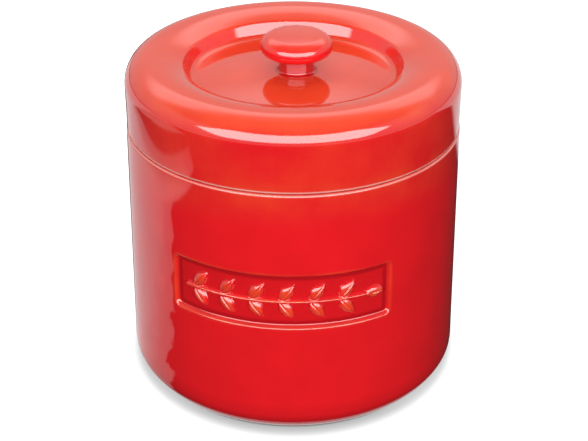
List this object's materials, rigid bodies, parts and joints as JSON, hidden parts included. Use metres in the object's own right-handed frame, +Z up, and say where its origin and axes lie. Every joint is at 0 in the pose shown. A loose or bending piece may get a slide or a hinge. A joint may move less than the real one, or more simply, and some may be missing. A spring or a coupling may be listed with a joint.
{
  "type": "bacon grease container",
  "caption": "Glazed stoneware jar for bacon grease with a knobbed cap lid and a lift-out steel mesh strainer.",
  "frame": {"origin": "centre of the foot on the surface that the jar stands on", "axes": "+Z up along the jar's axis, -Y out of the panelled front, +X to the right seen from the front"},
  "size_m": [0.108, 0.108, 0.1136],
  "materials": {
    "red_glaze": "gloss",
    "relief_glaze": "gloss",
    "lid_glaze": "gloss",
    "knob_glaze": "gloss",
    "pressed_steel": "satin",
    "wire_mesh": "bright wire",
    "ring_steel": "satin"
  },
  "bodies": {
    "jar": {"jar_body": "red_glaze", "panel_relief": "relief_glaze"},
    "strainer": {"strainer_cup": "pressed_steel", "strainer_mesh": "wire_mesh", "strainer_clamp_ring": "ring_steel"},
    "lid": {"lid_shell": "lid_glaze", "lid_knob": "knob_glaze"}
  },
  "joints": [
    {"name": "strainer_lift", "type": "slide", "parent": "jar", "child": "strainer", "axis": [0, 0, 1], "range_m": [0, 0.06]},
    {"name": "lid_lift", "type": "slide", "parent": "strainer", "child": "lid", "axis": [0, 0, 1], "range_m": [0, 0.07]}
  ]
}
